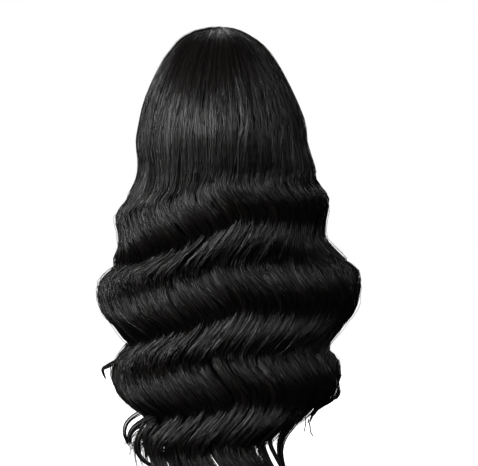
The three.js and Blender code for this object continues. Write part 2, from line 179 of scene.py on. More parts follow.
# Hair before it is waved. side is -1 at the foremost lock of the right and 1 of the left, depth 0 at the
# inner face and 1 at the outer one. In plan a strand runs straight from its root to the rim. rootOut moves
# a root away from the whorl, rootAside to the side, and rootOver over the parting's rear, which closes it.
def restPoint(section, side, along, depth, rootOut=0.0, rootAside=0.0, rootOver=0.0):
    outer, inner, reach = section
    bearing = np.abs(side) * reach
    forward = np.clip((bearing - hair["fan"]) / np.maximum(reach - hair["fan"], 0.01), 0, 1)
    ring = np.minimum(bearing, hair["fan"])
    whorl = hair["whorlRadius"] + rootOut
    radius = whorl + (hair["partingWidth"] / 2 - whorl) * np.minimum(1, hair["partingOpens"] * forward)
    radius = radius - rootOver * (1 - smooth(forward, *hair["overEnds"]))
    aside = rootAside * (1 - smooth(bearing / hair["fan"], *hair["asideEnds"]))
    rootX = (radius + aside) * np.sin(ring)
    rootY = hair["whorlBehind"] + hair["whorlRadius"] * np.cos(ring) - forward * hair["partingLength"]
    laid = np.sin(np.pi / 2 * np.clip(1 + along, 0, 1))
    planX = rootX / headSide * (1 - laid) + np.sin(bearing) * laid
    planY = rootY / np.where(rootY > 0, headBack, headFront) * (1 - laid) + np.cos(bearing) * laid
    rise = np.clip(1 - planX**2 - planY**2, 0, None)
    faces = []
    for face in (inner, outer):
        x = np.where(side < 0, -face["right"], face["left"]) * planX
        y = np.where(planY > 0, face["back"], face["front"]) * planY
        z = face["top"] * rise ** face["fullness"] - head["crown"] - np.maximum(0, along)
        faces.append(np.stack(np.broadcast_arrays(x, y, z), -1))
    return faces[0] + (faces[1] - faces[0]) * np.asarray(depth)[..., None]


# The wave's share of its full size: a smooth step that begins later where the wave comes later.
def waveSize(fall, drop):
    start = wave["start"] + wave["startDelay"] * drop
    return smooth(fall, start, start + wave["rise"])


# The wave swings all hair of one phase the same way, and its phase comes later on the left. Each slant
# of the wave stands out as a soft ridge, which has twice the wave's frequency. shift moves a strand's
# wave along it, and gain makes it larger.
def waved(points, along, shift=0.0, gain=1.0):
    fall = np.maximum(0, along)
    outer = hairSection(along)[0]
    x, y = points[..., 0], points[..., 1]
    across = np.clip(x / np.where(x < 0, outer["right"], outer["left"]), -1, 1)
    leftShare = (across + np.hypot(across, wave["middleBlend"])) / 2
    drop = wave["drop"] * leftShare * (1 - wave["dropLoss"] * fall / hair["fall"])
    phase = 2 * np.pi * (fall - wave["firstSlant"] - drop - shift) / wave["pitch"]
    size = gain * waveSize(fall, drop)
    ridge = wave["ridge"] * size * np.cos(2 * phase - wave["ridgeLag"])
    away = np.maximum(np.hypot(x, y), 1e-6)
    moved = points.copy()
    moved[..., 0] += -wave["swing"] * size * np.sin(phase) + ridge * x / away
    moved[..., 1] += wave["depth"] * size * across**2 * np.cos(phase) + ridge * y / away
    below = hair["overCrown"] - moved[..., 2]
    shares = [readRows(settled["below"], settled[column], below) for column in ("left", "right")]
    sides = smooth(np.abs(across), *settled["acrossEnds"])
    weight = np.maximum(sides, 1 - smooth(below, *settled["crownEnds"]))
    moved[..., 0] *= 1 + np.where(moved[..., 0] > 0, *shares) * weight
    return moved


# One mesh from whole arrays: points, four-sided and three-sided faces, a UV place for each corner of those
# faces in that order (0, 0 where the list ends early), and one number for each point.
def meshPiece(name, points, quads, triangles, corners, tone, material):
    mesh = bpy.data.meshes.new(name)
    loops = np.concatenate([quads.ravel(), triangles.ravel()]).astype(np.int32)
    spots = np.zeros((len(loops), 2), np.float32)
    spots[:len(corners)] = corners
    sizes = np.repeat([4, 3], [len(quads), len(triangles)]).astype(np.int32)
    starts = (np.cumsum(sizes) - sizes).astype(np.int32)
    mesh.vertices.add(len(points))
    mesh.vertices.foreach_set("co", points.astype(np.float32).ravel())
    mesh.loops.add(len(loops))
    mesh.loops.foreach_set("vertex_index", loops)
    mesh.polygons.add(len(sizes))
    mesh.polygons.foreach_set("loop_start", starts)
    mesh.polygons.foreach_set("loop_total", sizes)
    mesh.polygons.foreach_set("use_smooth", np.ones(len(sizes), bool))
    mesh.uv_layers.new(name="UVMap").data.foreach_set("uv", spots.ravel())
    mesh.attributes.new("tone", "FLOAT", "POINT").data.foreach_set("value", tone.astype(np.float32))
    mesh.update(calc_edges=True)
    mesh.materials.append(material)
    piece = bpy.data.objects.new(name, mesh)
    bpy.context.scene.collection.objects.link(piece)
    return piece


# How far apart the tubes of one mesh lie in UV, so that no two have the same grain, and bodies' tones.
uvStep = {"strand": 1.37, "body": 3.71}
bodyTones = [0.2, 0.8]


# Each place round a ring and the one after it.
def ringPairs(count):
    return np.arange(count), (np.arange(count) + 1) % count


# The faces of closed tubes that lie one after another, each of steps rings of sides points: four-sided
# ones between the rings, and fans of three-sided ones that close both ends.
def tubeFaces(count, steps, sides):
    first = np.arange(count)[:, None, None] * steps * sides
    ring = first + np.arange(steps - 1)[:, None] * sides
    here, there = ringPairs(sides)
    quads = np.stack([ring + here, ring + sides + here, ring + sides + there, ring + there], -1)
    fans = np.array([[0, i, i + 1] for i in range(1, sides - 1)])
    ends = first + (steps - 1) * sides + fans[:, ::-1]
    return quads.reshape(-1, 4), np.concatenate([(first + fans).reshape(-1, 3), ends.reshape(-1, 3)])


# The UV places of tubes' four-sided faces: u is tubes by sides + 1 and v is tubes by steps.
def tubeCorners(u, v):
    u0, u1, v0, v1 = u[:, None, :-1], u[:, None, 1:], v[:, :-1, None], v[:, 1:, None]
    places = [np.stack(np.broadcast_arrays(*pair), -1) for pair in ((u0, v0), (u0, v1), (u1, v1), (u1, v0))]
    return np.stack(places, -2).reshape(-1, 2)


# Vectors brought to length 1.
def unit(vectors):
    return vectors / np.maximum(np.linalg.norm(vectors, axis=-1, keepdims=True), 1e-9)


# Closed tubes carried along many paths at once. paths is strands by steps by 3, width and thick are
# strands by steps. section lists the corners of the tube's profile as (across, out) shares, and lean
# rolls each strand about its own path. Out is away from the head's middle, across is square to it. Its
# UV runs round each tube from 0 to 1 and along it in metres.
def carriedTubes(paths, width, thick, lean, section):
    strands, steps = paths.shape[:2]
    count = len(section)
    along = unit(np.gradient(paths, axis=1))
    away = paths.copy()
    away[..., 2] = np.maximum(away[..., 2] + head["crown"], 0)
    across = unit(np.cross(along, away))
    out = np.cross(across, along)
    turn = lean[:, None, None]
    across, out = across * np.cos(turn) + out * np.sin(turn), out * np.cos(turn) - across * np.sin(turn)
    profile = np.array(section)
    points = (paths[:, :, None] + across[:, :, None] * (profile[:, 0, None] * width[:, :, None, None])
              + out[:, :, None] * (profile[:, 1, None] * thick[:, :, None, None]))
    moves = np.diff(paths, axis=1, prepend=paths[:, :1])
    length = np.cumsum(np.linalg.norm(moves, axis=-1), axis=1)
    u = np.arange(count + 1) / count + np.arange(strands)[:, None] * uvStep["strand"]
    return points.reshape(-1, 3), *tubeFaces(strands, steps, count), tubeCorners(u, length)


# How the strands of each tier are laid. A wisp is a bundle of strands that moves as one.
ribbonStyle = {
    "wisps": 7, "strands": 9, "headSteps": 9, "fallSteps": 38, "width": 0.0019, "rootWidth": 0.35,
    "thick": 0.0007, "roll": 0.35, "depths": [0.8, 0.94], "crown": 0.05, "wispWander": 0.002,
    "strandWander": 0.0055, "wispWaver": 0.01, "shift": 0.0024, "lockShift": 0.001,
    "strandShift": 0.0012, "gain": 0.06, "lengthSpread": 0.03, "flick": 0.22, "gather": 0.35, "taper": 0.15,
    "sink": 0.95, "rootSpread": 0.007, "rootAside": 0.024, "rootOver": 0.004, "frontSink": 0.5,
    "scatter": 1.2, "outward": 0.6, "shorter": 0.05, "rootRun": 0.02, "tightenFrom": 0.08,
    "jitter": 0.25, "depthSpread": 0.035, "ownTone": 0.6,
}
insideStyle = dict(ribbonStyle, wisps=4, strands=4, headSteps=7, fallSteps=30, depths=[0, 0.2],
                   width=0.0032, crown=0, taper=0, gather=0, flick=0.1)
fineStyle = dict(ribbonStyle, strands=4, width=0.0007, thick=0.0006, depths=[0.85, 1],
                 strandWander=0.0045, shift=0.0045, lengthSpread=0.05, roll=3.0)
looseStyle = dict(ribbonStyle, wisps=6, strands=1, headSteps=16, width=0.0004, thick=0.0004, flick=0.5,
                  depths=[0.93, 1.05], strandWander=0.008, shift=0.003, lengthSpread=0.06, roll=3.0)
napeStyle = dict(ribbonStyle, wisps=4, strands=2)
napeInsideStyle = dict(insideStyle, wisps=6, strands=5, width=0.0028)
ribbonSection = [(-0.5, -0.3), (0.5, -0.3), (0.0, 0.7)]
# What all hair has in common: where it sinks at the root and wavers along its path, and how its tips draw
# to the lock's middle.
lie = {
    "frontSides": [0.7, 0.95], "frontRises": [-0.16, -0.09], "rootRises": 0.04, "tipDraw": 0.4,
    "tipPower": 1.7, "waverStarts": [-0.16, -0.06], "wispPitch": 0.15, "strandPitches": [0.13, 0.083],
}


# The hair lies lower near its root, most of all beside the front of the parting.
def rootSink(tier, side, path, style):
    front = smooth(np.abs(side), *lie["frontSides"]) if tier["root"] < 0 else 0
    atFront = style["frontSink"] * front * (1 - smooth(path, *lie["frontRises"]))
    risen = smooth(path, tier["root"], tier["root"] + lie["rootRises"])
    return style["sink"] - atFront + (1 - style["sink"]) * risen


# The wisps of a tier: where each lies across its lock, its depth, its length and how its wave differs.
def wispPlan(rng, tier, places, locks, style):
    shape = (len(places), style["wisps"])
    spread = np.linspace(-1 + 1 / style["wisps"], 1 - 1 / style["wisps"], style["wisps"])
    perLock = lambda values: np.broadcast_to(np.array(values)[:, None], shape)
    return {
        "middle": (2 * perLock(places) + 1) / tier["count"] - 1,
        "across": spread + rng.normal(0, style["jitter"] / style["wisps"], shape),
        "depth": rng.normal(0, style["depthSpread"], shape),
        "end": hair["fall"] * perLock(locks["lengths"]) * (1 + rng.normal(0, style["lengthSpread"], shape)),
        "shift": rng.normal(0, style["shift"], shape) + rng.normal(0, style["lockShift"], (shape[0], 1)),
        "gain": 1 + rng.normal(0, style["gain"], shape),
        "flick": perLock(locks["flicks"]) + rng.normal(0, style["flick"], shape),
        "wander": rng.normal(0, style["wispWander"], shape),
        "waver": rng.normal(0, style["wispWaver"], shape),
        "phase": rng.uniform(0, 2 * np.pi, shape),
        "tone": rng.uniform(0, 1, shape),
    }


# A wisp's own slow waver to the sides: a sine along the path, from a little below its root on.
def wispWaver(own, path):
    swing = np.sin(2 * np.pi * path / lie["wispPitch"] + own["phase"])
    return own["waver"] * swing * smooth(path, *lie["waverStarts"])


# A depth that moves part of the way to the lock's middle, by a power of how far the lock has parted.
def drawnDepth(depth, loose):
    return depth + (0.5 - depth) * lie["tipDraw"] * loose**lie["tipPower"]


# Hair of one tier at rest and waved. Its tips move aside by a flick, which grows with the fourth power of
# how far the lock has parted, and by a wander, which grows evenly. own holds these and the wave's own gain.
def hungHair(tier, side, path, depth, loose, own, shift=0.0, roots=()):
    along = np.broadcast_to(toAlong(path), side.shape)
    rest = restPoint(tier["section"](along), side, along, depth, *roots)
    points = waved(rest, along, shift, own["gain"])
    points[..., 0] += wave["swing"] * own["flick"] * loose**4 + own["wander"] * loose
    return points


# The paths of all strands of a group of locks. A strand keeps its place across its lock over the head, and
# gathers to its wisp's middle towards the tip. Its depth falls off from that middle with the square of its
# offset, which makes the wisp round.
def strandPaths(rng, tier, plan, style):
    shape = (*plan["middle"].shape, style["strands"])
    own = {key: np.broadcast_to(values[:, :, None], shape).reshape(-1, 1) for key, values in plan.items()}
    count = len(own["middle"])
    column = lambda: rng.uniform(0, 1, (count, 1))
    offset = rng.uniform(-style["scatter"], style["scatter"], (count, 1))
    low, high = style["depths"]
    depth = low + (high - low) * column() ** style["outward"] + own["depth"] - style["crown"] * offset**2
    end = np.minimum(own["end"] * (1 - style["shorter"] * column() ** 2), hair["longest"])
    root = tier["root"] + (style["rootRun"] * column() ** 2 if tier["root"] < 0 else 0)
    path = root + (end - root) * np.linspace(0, 1, style["fallSteps"])
    if tier["root"] < 0:
        overHead = root * np.linspace(1, 0, style["headSteps"] + 1)[:-1]
        path = np.concatenate([overHead, end * np.linspace(0, 1, style["fallSteps"])], axis=1)
    loose = partedShare(path, end)
    tighten = style["gather"] * smooth(path, style["tightenFrom"], end)
    across = (own["across"] + offset / style["wisps"] * (1 - tighten)) * (1 - style["taper"] * loose**3)
    waver = sum(np.sin(2 * np.pi * path / pitch + rng.uniform(0, 2 * np.pi, (count, 1)))
                for pitch in lie["strandPitches"])
    waver = waver * style["strandWander"] * smooth(path, *lie["waverStarts"])
    side = np.clip(own["middle"] + across / tier["count"] + waver + wispWaver(own, path), -1, 1)
    depth = drawnDepth(depth, loose) * rootSink(tier, side, path, style)
    roots = [style[key] * column() for key in ("rootSpread", "rootAside", "rootOver")]
    shift = own["shift"] + rng.normal(0, style["strandShift"], (count, 1))
    points = hungHair(tier, side, path, depth, loose, own, shift, roots)
    tones = style["ownTone"] * own["tone"][:, 0] + (1 - style["ownTone"]) * rng.uniform(0, 1, count)
    return points, tones, style


# A wisp's own body: a closed tube of flat round section, in shares of its lock's width and thickness.
wispStyle = {"steps": 52, "sides": 6, "halfWidth": 1.25, "depth": 0.77, "halfDepth": 0.12, "length": 0.97,
             "taper": 0.5, "tip": 0.78, "tipNarrow": 0.9}


# The grid of a tube down to each end: its path, how far the lock has parted there, the turn round it, and
# its width, which falls with the cube of how far the lock has parted and again at the tip.
def tubeForm(tier, ends, form):
    ends = ends * form["length"]
    path = tier["root"] + (ends - tier["root"]) * np.linspace(0, 1, form["steps"])[:, None]
    loose = partedShare(path, ends)
    turn = 2 * np.pi * np.arange(form["sides"]) / form["sides"]
    narrow = (1 - form["taper"] * loose**3) * (1 - form["tipNarrow"] * smooth(loose, form["tip"], 1))
    return path, loose, turn, narrow


def wispBodies(name, tier, plan, style, material):
    own = {key: values.reshape(-1, 1, 1) for key, values in plan.items()}
    path, loose, turn, narrow = tubeForm(tier, np.minimum(own["end"], hair["fall"]), wispStyle)
    gather = 1 - style["taper"] * loose**3
    across = own["across"] * gather + wispStyle["halfWidth"] / style["wisps"] * np.cos(turn) * narrow
    side = np.clip(own["middle"] + across / tier["count"] + wispWaver(own, path), -1, 1)
    depth = wispStyle["depth"] + own["depth"] + wispStyle["halfDepth"] * np.sin(turn) * narrow
    depth = drawnDepth(depth, loose) * rootSink(tier, side, path, style)
    points = hungHair(tier, side, path, depth, loose, own, own["shift"])
    return tubeGrid(name, points, path, material)


# One mesh from closed tubes given as whole grids: tubes by steps by sides. Each has one tone, and its UV
# runs round it from 0 to 1 and along it in metres.
def tubeGrid(name, points, path, material):
    count, steps, sides = points.shape[:3]
    u = np.arange(sides + 1) / sides + np.arange(count)[:, None] * uvStep["body"]
    corners = tubeCorners(u, path[:, :, 0])
    tone = np.repeat(np.random.default_rng(count).uniform(*bodyTones, count), steps * sides)
    return meshPiece(name, points.reshape(-1, 3), *tubeFaces(count, steps, sides), corners, tone, material)


# Ribbons keep their width from near the root to the last part, and end in a point.
ribbonForm = {"widths": [0.6, 1.3], "thicks": [0.7, 1.2], "fullFrom": 0.25, "narrow": 0.9,
              "narrowFrom": 0.78, "thin": 0.85, "thinFrom": 0.85}


# sets lists the paths of each kind of strand, a tone from 0 to 1 for each strand, and their style.
def strandMesh(rng, name, sets, material):
    parts, before = [], 0
    for paths, tones, style in sets:
        strands, steps = paths.shape[:2]
        t = np.linspace(0, 1, steps)
        width = style["width"] * rng.uniform(*ribbonForm["widths"], (strands, 1))
        grown = smooth(t, 0, ribbonForm["fullFrom"])
        width = width * (style["rootWidth"] + (1 - style["rootWidth"]) * grown)
        width = width * (1 - ribbonForm["narrow"] * smooth(t, ribbonForm["narrowFrom"], 1))
        thick = style["thick"] * rng.uniform(*ribbonForm["thicks"], (strands, 1))
        thick = thick * (1 - ribbonForm["thin"] * smooth(t, ribbonForm["thinFrom"], 1))
        lean = rng.normal(0, style["roll"], strands)
        tone = np.repeat(tones, steps * len(ribbonSection))
        points, quads, triangles, corners = carriedTubes(paths, width, thick, lean, ribbonSection)
        parts.append((points, quads + before, triangles + before, corners, tone))
        before += len(points)
    return meshPiece(name, *map(np.concatenate, zip(*parts)), material)


# The body of each lock under its strands: a closed tube as wide as the lock and a little thinner.
bodyStyle = {"steps": 44, "sides": 10, "fill": 0.98, "depth": 0.43, "halfDepth": 0.33, "roundness": 0.6,
             "length": 0.96, "taper": 0.28, "tip": 0.76, "tipNarrow": 0.92, "rootDepth": 0.45,
             "rootRises": 0.05}


def lockBodies(name, tier, places, locks, material):
    lengths, flicks = (np.array(locks[key])[:, None, None] for key in ("lengths", "flicks"))
    path, loose, turn, narrow = tubeForm(tier, hair["fall"] * lengths, bodyStyle)
    square = lambda v: np.sign(v) * np.abs(v) ** bodyStyle["roundness"]
    middle = (2 * places[:, None, None] + 1) / tier["count"] - 1
    side = np.clip(middle + bodyStyle["fill"] * square(np.cos(turn)) * narrow / tier["count"], -1, 1)
    depth = bodyStyle["depth"] + bodyStyle["halfDepth"] * square(np.sin(turn)) * narrow
    risen = smooth(path, tier["root"], tier["root"] + bodyStyle["rootRises"])
    depth = depth * (bodyStyle["rootDepth"] + (1 - bodyStyle["rootDepth"]) * risen)
    points = hungHair(tier, side, path, depth, loose, {"gain": 1, "flick": flicks, "wander": 0})
    return tubeGrid(name, points, path, material)


# Shader maths on values: an expression on these adds its Math nodes.
class Value:
    def __init__(self, look, socket):
        self.look, self.socket = look, socket

    def join(self, operation, first, second):
        return self.look.node("ShaderNodeMath", {0: first, 1: second}, operation=operation)

    __add__ = __radd__ = lambda self, other: self.join("ADD", self, other)
    __mul__ = __rmul__ = lambda self, other: self.join("MULTIPLY", self, other)
    __sub__ = lambda self, other: self.join("SUBTRACT", self, other)
    __rsub__ = lambda self, other: self.join("SUBTRACT", other, self)
    __lt__ = lambda self, other: self.join("LESS_THAN", self, other)
    __gt__ = lambda self, other: self.join("GREATER_THAN", self, other)


class Nodes:
    def __init__(self, tree):
        self.tree = tree

    # Any node: its type, the values or links of its sockets, which output is wanted, and its settings.
    def node(self, kind, sockets={}, output=0, **settings):
        node = self.tree.nodes.new(kind)
        for key, value in settings.items():
            setattr(node, key, value)
        for key, value in sockets.items():
            self.feed(node.inputs[key], value)
        return Value(self, node.outputs[output])

    def feed(self, socket, value):
        if isinstance(value, Value):
            self.tree.links.new(value.socket, socket)
        else:
            socket.default_value = value


# A material with the sockets of its surface fed by name.
class Look(Nodes):
    def __init__(self, name):
        self.material = bpy.data.materials.new(name)
        self.material.use_nodes = True
        super().__init__(self.material.node_tree)
        self.shader = self.tree.nodes["Principled BSDF"]

    def place(self):
        return self.node("ShaderNodeUVMap", uv_map="UVMap")

    def surface(self, **sockets):
        for name, value in sockets.items():
            self.feed(self.shader.inputs[name.replace("_", " ")], value)
        return self.material


# Black hair: nearly black with a trace of brown in some strands, and fine lines along the strand. lines
# and linesAlong are the grain's waves round a tube and to a metre of it.
hairTint = {
    "dark": (0.004, 0.0038, 0.004, 1), "light": (0.012, 0.0098, 0.0088, 1), "toneShare": 0.7,
    "linesAlong": 14, "detail": 3.0, "relief": 0.0004, "roughSwing": 0.2,
}
hairLooks = {
    "strands": {"roughness": 0.27, "lines": 5.0, "bump": 0.5, "shine": 0.55},
    "wisps": {"roughness": 0.34, "lines": 26.0, "bump": 1.0, "shine": 0.4},
    "under": {"roughness": 0.5, "lines": 60.0, "bump": 1.0, "shine": 0.25},
}


def hairLook(name, roughness, lines, bump, shine):
    look = Look("black_hair_" + name)
    scale = (lines, hairTint["linesAlong"], 1)
    place = look.node("ShaderNodeMapping", {"Vector": look.place(), "Scale": scale})
    grain = look.node("ShaderNodeTexNoise", {"Vector": place, "Scale": 1.0, "Detail": hairTint["detail"]})
    tone = look.node("ShaderNodeAttribute", output="Fac", attribute_name="tone")
    share = tone * hairTint["toneShare"] + grain * (1 - hairTint["toneShare"])
    mixed = look.node("ShaderNodeMix", {"Factor": share, 6: hairTint["dark"], 7: hairTint["light"]}, 2,
                      data_type="RGBA")
    relief = look.node("ShaderNodeBump", {
        "Strength": bump, "Distance": hairTint["relief"], "Height": grain})
    rough = roughness + (grain - 0.5) * hairTint["roughSwing"] + (tone - 0.5) * hairTint["roughSwing"]
    return look.surface(Base_Color=mixed, Roughness=rough, Specular_IOR_Level=shine, Normal=relief)


strandLook, wispLook, bodyLook = [hairLook(name, **look) for name, look in hairLooks.items()]

# Strands of the first styles share their wisps, and those of the last ones have wisps of their own.
outerTier = {"groups": outerLocks, "section": hairSection, "root": -hair["headArc"],
             "shared": [ribbonStyle, fineStyle], "apart": [looseStyle, insideStyle]}
napeTier = {"groups": napeLocks, "section": napeSection, "root": hair["napeStart"],
            "shared": [napeStyle], "apart": [napeInsideStyle]}
rng = np.random.default_rng(14)
for tier in (outerTier, napeTier):
    tier["count"] = sum(len(locks["lengths"]) for locks in tier["groups"].values())
    place = 0
    for node, locks in tier["groups"].items():
        places = np.arange(place, place + len(locks["lengths"]))
        place += len(places)
        body = lockBodies(node + "_body", tier, places, locks, bodyLook)
        plan = wispPlan(rng, tier, places, locks, tier["shared"][0])
        wisps = wispBodies(node + "_wisps", tier, plan, tier["shared"][0], wispLook)
        sets = [strandPaths(rng, tier, plan, style) for style in tier["shared"]]
        for style in tier["apart"]:
            sets.append(strandPaths(rng, tier, wispPlan(rng, tier, places, locks, style), style))
        strands = strandMesh(rng, node + "_strands", sets, strandLook)
        for piece in (body, wisps, strands):
            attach(piece, "root")
            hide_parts(node)

print("hair laid:", outerTier["count"], "outer locks and", napeTier["count"], "at the nape")

# The cap's form: a half ellipsoid carried on below its widest level. Its edge is the angle down from
# the crown at each bearing from the back, in degrees.
capEdge = {
    "bearing": [0, 22, 45, 70, 90, 102, 112, 125, 140, 158, 180],
    "down": [130, 127, 117, 104, 97, 103, 104, 84, 70, 62, 60],
}
capSeam = {"back": -0.0131, "gap": 0.0003}
dome = {"around": 72, "rings": 22}


# A place on the cap: the ellipsoid's point at a bearing from the back and an angle down from the crown,
# with all three half axes longer by offset.
def capPoint(bearing, down, offset):
    return np.stack(np.broadcast_arrays(
        (head["halfBreadth"] + offset) * np.sin(down) * np.sin(bearing),
        (head["halfLength"] + offset) * np.sin(down) * np.cos(bearing),
        (head["crown"] + offset) * np.cos(down) - head["crown"]), -1)


# The angle down to the cap's edge at any bearing, the same on both sides.
def capEdgeDown(bearing):
    around = np.abs((np.degrees(bearing) + 180) % 360 - 180)
    return np.radians(readRows(capEdge["bearing"], capEdge["down"], around))


# A dome of the given wall from the crown to the cap's edge, of an inner and an outer face closed at
# the rim, and then cut at a plane across the head. Its UV is the distance from the crown, in metres.
def domeShell(name, wall, front, material):
    around, rings = dome["around"], dome["rings"]
    bearing = 2 * np.pi * np.arange(around)[None, :] / around
    share = np.linspace(0, 1, rings + 1)[1:, None]
    down = capEdgeDown(bearing) * share
    faces = [capPoint(bearing, down, offset).reshape(-1, 3) for offset in (0, wall)]
    poles = capPoint(0.0, 0.0, np.array([0.0, wall]))
    points = np.concatenate([*faces, poles])
    spots = np.stack([(down * np.sin(bearing)).ravel(), (down * np.cos(bearing)).ravel()], -1)
    spots = np.concatenate([spots, spots, np.zeros((2, 2))]) * head["halfLength"]
    here, there = ringPairs(around)
    size, rim = around * rings, around * (rings - 1)
    inner = tubeFaces(1, rings, around)[0]
    edge = np.stack([rim + here, size + rim + here, size + rim + there, rim + there], -1)
    quads = np.concatenate([inner, inner[:, ::-1] + size, edge])
    crown = np.stack([0 * here + 2 * size, here, there], -1)
    roof = np.stack([0 * here + 2 * size + 1, size + there, size + here], -1)
    triangles = np.concatenate([crown, roof])
    corners = spots[np.concatenate([quads.ravel(), triangles.ravel()])]
    piece = meshPiece(name, points, quads, triangles, corners, np.zeros(len(points)), material)
    cut = bmesh.new()
    cut.from_mesh(piece.data)
    facing = -1 if front else 1
    place = capSeam["back"] + capSeam["gap"] / 2 * facing
    everything = cut.verts[:] + cut.edges[:] + cut.faces[:]
    made = bmesh.ops.bisect_plane(cut, geom=everything, plane_co=(0, place, 0), plane_no=(0, facing, 0),
                                  clear_inner=True)
    edges = [e for e in made["geom_cut"] if isinstance(e, bmesh.types.BMEdge)]
    bmesh.ops.holes_fill(cut, edges=edges)
    bmesh.ops.recalc_face_normals(cut, faces=cut.faces)
    cut.to_mesh(piece.data)
    cut.free()
    return piece


# A six-sided net as 1 on its threads and 0 between them. A place belongs to the nearer of two sets of
# cells, the second half a cell on, and a thread is where the cell's edge is nearer than a share of it.
def netThreads(look, place, net):
    vector = lambda operation, *values, output=0: look.node(
        "ShaderNodeVectorMath", dict(enumerate(values)), output, operation=operation)
    half, tall = 0.5, math.sqrt(0.75)
    scaled = vector("MULTIPLY", place, (1 / net["cell"],) * 3)
    near = []
    for shift in ((0, 0, 0), (half, tall, 0)):
        wrapped = vector("WRAP", vector("ADD", scaled, shift), (half, tall, 1), (-half, -tall, 0))
        flat = vector("MULTIPLY", wrapped, (1, 1, 0))
        folded = vector("ABSOLUTE", flat)
        slant = vector("DOT_PRODUCT", folded, (half, tall, 0), output="Value")
        straight = vector("DOT_PRODUCT", folded, (1, 0, 0), output="Value")
        near.append((vector("LENGTH", flat, output="Value"), slant.join("MAXIMUM", slant, straight)))
    (lengthA, farA), (lengthB, farB) = near
    toEdge = half - (farB + (farA - farB) * (lengthA < lengthB))
    return toEdge < net["thread"]


laceNet = {"cell": 0.0016, "thread": 0.12, "between": 0.68, "threads": 0.98,
           "colour": (0.16, 0.1, 0.07, 1)}
laceLook = Look("sheer_lace")
laceThread = netThreads(laceLook, laceLook.place(), laceNet)
laceLook.surface(Base_Color=laceNet["colour"], Roughness=0.7,
                 Alpha=laceNet["between"] + laceThread * (laceNet["threads"] - laceNet["between"]))
# The cap's net is closed cloth round the crown, so that nothing shines through at the parting's end.
capNet = {"cell": 0.0026, "thread": 0.13, "between": 0.35, "crownPatch": 0.036,
          "colour": (0.006, 0.006, 0.007, 1)}
capLook = Look("black_cap_net")
capPlace = capLook.place()
capReach = capLook.node("ShaderNodeVectorMath", {0: capPlace}, "Value", operation="LENGTH")
capHole = (1 - netThreads(capLook, capPlace, capNet)) * (capReach > capNet["crownPatch"])
capLook.surface(Base_Color=capNet["colour"], Roughness=0.75, Alpha=1 - capHole * (1 - capNet["between"]))
elastic = {"ribs": 160.0, "bump": 0.8, "relief": 0.0004, "colour": (0.012, 0.012, 0.013, 1)}
bandLook = Look("black_elastic")
bandRib = bandLook.node("ShaderNodeTexWave", {"Vector": bandLook.place(), "Scale": elastic["ribs"]},
                        bands_direction="Y")
bandRelief = bandLook.node("ShaderNodeBump", {
    "Strength": elastic["bump"], "Distance": elastic["relief"], "Height": bandRib})
bandLook.surface(Base_Color=elastic["colour"], Roughness=0.8, Normal=bandRelief)
tapeLook = Look("black_weft_tape")
tapeLook.surface(Base_Color=(0.008, 0.008, 0.009, 1), Roughness=0.7)

lace = domeShell("lace_sheet", head["lace"], True, laceLook.material)
capShell = domeShell("cap_net_shell", head["wall"], False, capLook.material)

# Flat tapes inside the cap, each at one angle down from the crown, in degrees: a rectangle carried round
# as far as the cap's edge and its seam leave room.
weft = {
    "downs": [24, 38, 52, 66, 80, 94, 106, 118], "width": 0.006, "thick": 0.0012, "steps": 56,
    "furthest": 100, "tries": 400, "aboveEdge": 4, "fromSeam": 0.003,
    "section": [(-0.5, -0.5), (0.5, -0.5), (0.5, 0.5), (-0.5, 0.5)],
}
weftRows = []
for degrees in weft["downs"]:
    around = np.radians(np.linspace(-weft["furthest"], weft["furthest"], weft["tries"]))
    row = capPoint(around, np.radians(degrees), -weft["thick"] / 2)
    clearEdge = np.degrees(capEdgeDown(around)) > degrees + weft["aboveEdge"]
    clearSeam = row[:, 1] > capSeam["back"] + weft["fromSeam"]
    reach = np.abs(around[clearEdge & clearSeam]).max()
    around = np.linspace(-reach, reach, weft["steps"])
    weftRows.append(capPoint(around, np.radians(degrees), -weft["thick"] / 2))
size, flat = np.ones((len(weftRows), weft["steps"])), np.zeros(len(weftRows))
tapes = carriedTubes(np.array(weftRows), size * weft["width"], size * weft["thick"], flat, weft["section"])
wefts = meshPiece("weft_rows", *tapes, np.zeros(len(tapes[0])), tapeLook.material)

# The nape band lies just below the cap's edge.
band = {
    "bearing": 40, "height": 0.013, "wall": 0.0016, "gap": 0.0008, "length": 0.13, "steps": 60,
    "section": [(0, 1), (0.5, 1), (1, 1), (1, 0), (0.5, 0), (0, 0)],
}
bandBearing = np.radians(np.linspace(-band["bearing"], band["bearing"], band["steps"]))
bandTop = capEdgeDown(bandBearing) + band["gap"] / head["halfLength"]
bandTall = band["height"] / head["halfLength"]
bandRing = np.stack([capPoint(bandBearing, bandTop + bandTall * tall, band["wall"] * out)
                     for tall, out in band["section"]], 1)
bandRun = np.linspace(0, band["length"], band["steps"])[None, :, None]
nape = tubeGrid("elastic_band", bandRing[None], bandRun, bandLook.material)

for piece, node, slot in ((lace, "lace_front", "lace"), (capShell, "wig_cap", "cap_net"),
                          (nape, "nape_band", "elastic"), (wefts, "wig_cap", "cap_net")):
    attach(piece, "root")
    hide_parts(node)


# Hair tied along the lace, a little behind its front edge.
hairlineStyle = {
    "strands": 900, "steps": 28, "width": 0.0015, "rootWidth": 0.8, "thick": 0.0006, "roll": 0.5,
    "bearings": [122, 179.5], "crowding": 0.58, "partingShare": 0.3, "partingPlaces": [0.985, 1],
    "inset": [0.001, 0.028], "starts": [0.25, 0.75], "reach": [0.42, 0.66], "sides": [0.8, 0.995],
    "depths": [0.5, 0.98], "follow": 0.35, "joins": [0.04, 0.12], "joinMore": 0.045,
    "lift": 0.008, "liftRun": 0.1, "liftFades": [-0.07, -0.03], "liftUp": 0.6,
}


